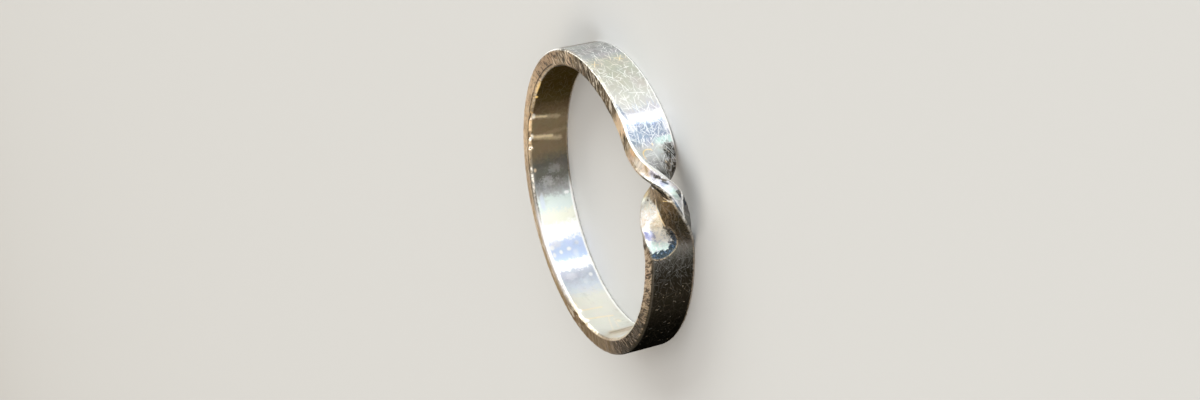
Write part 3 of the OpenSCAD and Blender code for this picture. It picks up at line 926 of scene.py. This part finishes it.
def silverFinish():
    made = bpy.data.materials.new("wornSilver")
    made.use_nodes = True
    f = Finish(made.node_tree)
    s = stripPlace(f)

    base = addStains(f, s, toneColour(f, s), stains)
    base = streakColour(f, s, markColour(f, s, base))
    base = crossingColour(f, s, base)
    base = hollowColour(f, s, base)

    tint = f.mix(0.3, (0.5, 0.5, 0.5), s.drift)
    base = f.mix(0.35, base, tint, "OVERLAY")
    dirt = f.times(f.soft(s.cloudy, 0.55, 0.78), 0.25)
    base = f.mix(dirt, base, f.mix(0.7, base, colours["bronze"], "MULTIPLY"))

    farSide = f.window(s.along, 20.5, 41.0, 1.5)
    plain = f.most(f.window(s.along, -5.4, -4.3, 0.3), f.window(s.along, -3.1, 2.6, 0.3), farSide)
    golden = f.window(s.along, 14.8, 22.0, 1.0)
    plain = f.most(plain, golden)
    filed = f.times(s.rim, f.sum("MULTIPLY_ADD", plain, -0.75, 1.0))
    raised = f.mix(f.soft(s.along, 7.0, 9.5), colours["cream"], colours["sand"])
    base = f.mix(f.times(f.soft(s.strokes, 0.54, 0.61), filed, 0.65), base, raised)
    base = f.mix(f.times(f.soft(s.strokes, 0.49, 0.43), filed, 0.85), base, colours["umber"])
    lengthways = f.times(s.rim, farSide, 0.5)
    base = f.mix(f.times(f.soft(s.combed, 0.52, 0.60), lengthways), base, colours["cream"])
    base = f.mix(f.times(f.soft(s.combed, 0.48, 0.38), lengthways), base, colours["warmTan"])
    grained = f.times(s.dark, f.soft(s.grain, 0.48, 0.62), f.soft(s.along, 11.5, 8.0), 0.22)
    base = edgeColour(f, s, f.mix(grained, base, colours["deepBrown"]))

    pit = f.times(f.soft(s.speck["Distance"], 0.38, 0.16), f.soft(s.speckChance[2], 0.72, 0.76))
    pit = f.times(pit, f.window(s.along, -0.8, 2.6, 0.3), f.other(s.front), f.soft(s.wide, 0.0, 0.2))
    base = f.mix(f.times(pit, 0.8), base, colours["umber"])

    bright = f.mix(f.window(s.along, -10.2, -9.0, 0.5), colours["white"], colours["cream"])
    bright = f.mix(f.times(s.back, f.soft(s.along, 14.0, 17.0)), bright, colours["brightAsh"])
    bright = f.mix(f.soft(s.along, -13.2, -14.2), bright, colours["sand"])
    dim = f.mix(f.soft(s.fine, 0.48, 0.60), colours["slate"], colours["paleTan"])
    dim = f.mix(f.soft(s.along, 6.5, 5.0), dim, colours["grey"])
    scratched = scratchMarks(f, s, scratchGroup())
    shown = f.times(scratched, f.sum("MULTIPLY_ADD", s.dark, f.sum("MULTIPLY_ADD", f.soft(s.along, 6.0, 11.0), -0.1, -0.5), 0.9))
    base = f.mix(shown, base, f.mix(s.dark, bright, dim))

    # height of the surface, for the relief too fine to model
    relief = f.sum("MULTIPLY", scratched, -wear["grooveDepth"])
    relief = f.sum("ADD", relief, f.times(filed, s.strokes, wear["strokeDepth"]))
    relief = f.sum("SUBTRACT", relief, f.times(pit, wear["pitDepth"]))
    relief = f.sum("ADD", relief, f.times(s.fine, 0.005))
    relief = f.sum("ADD", relief, f.times(s.grain, 0.001))

    rough = f.wobble(wear["roughness"], s.cloudy, 0.2)
    rough = f.sum("ADD", rough, f.times(scratched, 0.12))
    rough = f.sum("SUBTRACT", rough, f.times(s.edge, 0.1))

    # Metallic is lowered where the colour is darkest, on tarnish with painted shade, and along the far edges' painted
    # highlights
    light = f.vector("DOT_PRODUCT", base, (0.3, 0.6, 0.1))
    tarnishAndShade = f.times(f.soft(s.along, 37.6, 39.4), s.front)
    dull = f.most(s.dark, f.soft(light, 0.045, 0.008), tarnishAndShade, f.times(s.farLine, 0.6))

    bump = f.node("Bump", {"Strength": 1.0, "Distance": mm, "Height": relief})
    shader = f.node(
        "BsdfPrincipled",
        {
            "Base Color": base,
            "Metallic": f.other(dull),
            "Specular IOR Level": 0.0,
            "Roughness": rough,
            "Anisotropic": wear["anisotropy"],
            "Anisotropic Rotation": 0.25,
            "Normal": bump.outputs[0],
            "Tangent": f.node("Tangent", direction_type="RADIAL", axis="Z").outputs[0],
        },
    )
    f.tree.links.new(shader.outputs[0], f.node("OutputMaterial").inputs[0])
    return made


print("band: finish")
wornBand.data.materials.append(silverFinish())
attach(wornBand, "root")
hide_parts("band")

# The floor that the ring lies on
floor = {
    "half": 4.0,
    "colour": (0.52, 0.52, 0.515),
    "roughness": 0.75,
}


def makeFloor():
    half, level = floor["half"], bandLow.z
    mesh = bpy.data.meshes.new("floor")
    corners = [(-half, -half, level), (half, -half, level), (half, half, level), (-half, half, level)]
    mesh.from_pydata(corners, [], [(0, 1, 2, 3)])
    plain = bpy.data.objects.new("floor", mesh)
    bpy.context.scene.collection.objects.link(plain)
    pale = bpy.data.materials.new("paleFloor")
    pale.use_nodes = True
    f = Finish(pale.node_tree)
    shader = f.node("BsdfPrincipled", {"Base Color": floor["colour"], "Roughness": floor["roughness"]})
    f.tree.links.new(shader.outputs[0], f.node("OutputMaterial").inputs[0])
    mesh.materials.append(pale)


print("stage: floor")
makeFloor()

# Where each light stands, seen from the ring: degrees round from the twist, degrees up, distance and size in metres
lights = {
    "skyBox": {"round": 53, "up": 15, "away": 2.4, "size": (0.44, 1.04), "watts": 13, "colour": (0.95, 0.98, 1.0)},
    "sideBox": {"round": 8, "up": 14, "away": 2.6, "size": (1.75, 1.0), "watts": 33, "colour": (0.96, 0.99, 1.0)},
    "gapBox": {"round": 38, "up": 15, "away": 2.5, "size": (0.95, 1.0), "watts": 9, "colour": (0.93, 0.97, 1.0)},
    "frontBox": {"round": -30, "up": 38, "away": 2.6, "size": (0.56, 2.0), "watts": 23, "colour": (0.98, 0.98, 1.0)},
    "backBox": {"round": 103, "up": 26, "away": 3.2, "size": (4.6, 2.0), "watts": 105, "colour": (0.97, 1.0, 0.96)},
    "warmSide": {"round": -88, "up": 50, "away": 3.2, "size": (2.2, 2.2), "watts": 26, "colour": (1.0, 0.86, 0.64)},
    "warmFill": {"round": 182, "up": 26, "away": 3.2, "size": (2.9, 2.4), "watts": 14.5, "colour": (1.0, 0.86, 0.71)},
    "goldSide": {"round": -130, "up": 22, "away": 2.8, "size": (0.8, 0.8), "watts": 6, "colour": (1.0, 0.76, 0.42)},
    "softTop": {"round": 80, "up": 76, "away": 3.0, "size": (2.4, 2.4), "watts": 30, "colour": (1.0, 0.98, 0.96)},
}


def makeLights():
    for name, box in lights.items():
        lamp = bpy.data.lights.new(name, "AREA")
        lamp.shape = "RECTANGLE"
        lamp.size, lamp.size_y = box["size"]
        lamp.energy = box["watts"]
        lamp.color = box["colour"]
        a, e = math.radians(box["round"]), math.radians(box["up"])
        towards = Vector((math.cos(a) * math.cos(e), math.sin(a) * math.cos(e), math.sin(e)))
        holder = bpy.data.objects.new(name, lamp)
        holder.location = towards * box["away"]
        holder.rotation_mode = "QUATERNION"
        holder.rotation_quaternion = (-towards).to_track_quat("-Z", "Y")
        holder.visible_camera = False
        bpy.context.scene.collection.objects.link(holder)
    world = bpy.data.worlds.new("room")
    world.use_nodes = True
    air = world.node_tree.nodes["Background"]
    air.inputs["Color"].default_value = (0.62, 0.59, 0.56, 1)
    air.inputs["Strength"].default_value = 0.28
    bpy.context.scene.world = world


print("stage: lights")
makeLights()

# The view, from the ring's middle: degrees round from the twist, degrees up, and how far the camera leans over
view = {
    "round": 2.49,
    "up": 21.61,
    "lean": -102.6,
    "away": 115.71,  # millimetres
    "lens": 53.255,
    "aside": (-0.2334, -0.0984),  # millimetres, right and up
}


def makeCamera():
    a, e = math.radians(view["round"]), math.radians(view["up"])
    towards = Vector((math.cos(a) * math.cos(e), math.sin(a) * math.cos(e), math.sin(e)))
    level = Vector((0, 0, 1)).cross(towards).normalized()
    lean = math.radians(view["lean"])
    right = level * math.cos(lean) + towards.cross(level) * math.sin(lean)
    up = towards.cross(right)
    camera = bpy.data.cameras.new("view")
    camera.lens = view["lens"]
    camera.sensor_width = 36
    camera.clip_start, camera.clip_end = 0.01, 5
    holder = bpy.data.objects.new("view", camera)
    spot = towards * view["away"] + right * view["aside"][0] + up * view["aside"][1]
    turned = Matrix((right, up, towards)).transposed().to_4x4()
    holder.matrix_world = Matrix.Translation(spot * mm) @ turned
    bpy.context.scene.collection.objects.link(holder)
    bpy.context.scene.camera = holder


print("stage: camera")
makeCamera()
bpy.context.scene.view_settings.view_transform = "Standard"
bpy.context.scene.view_settings.look = "None"
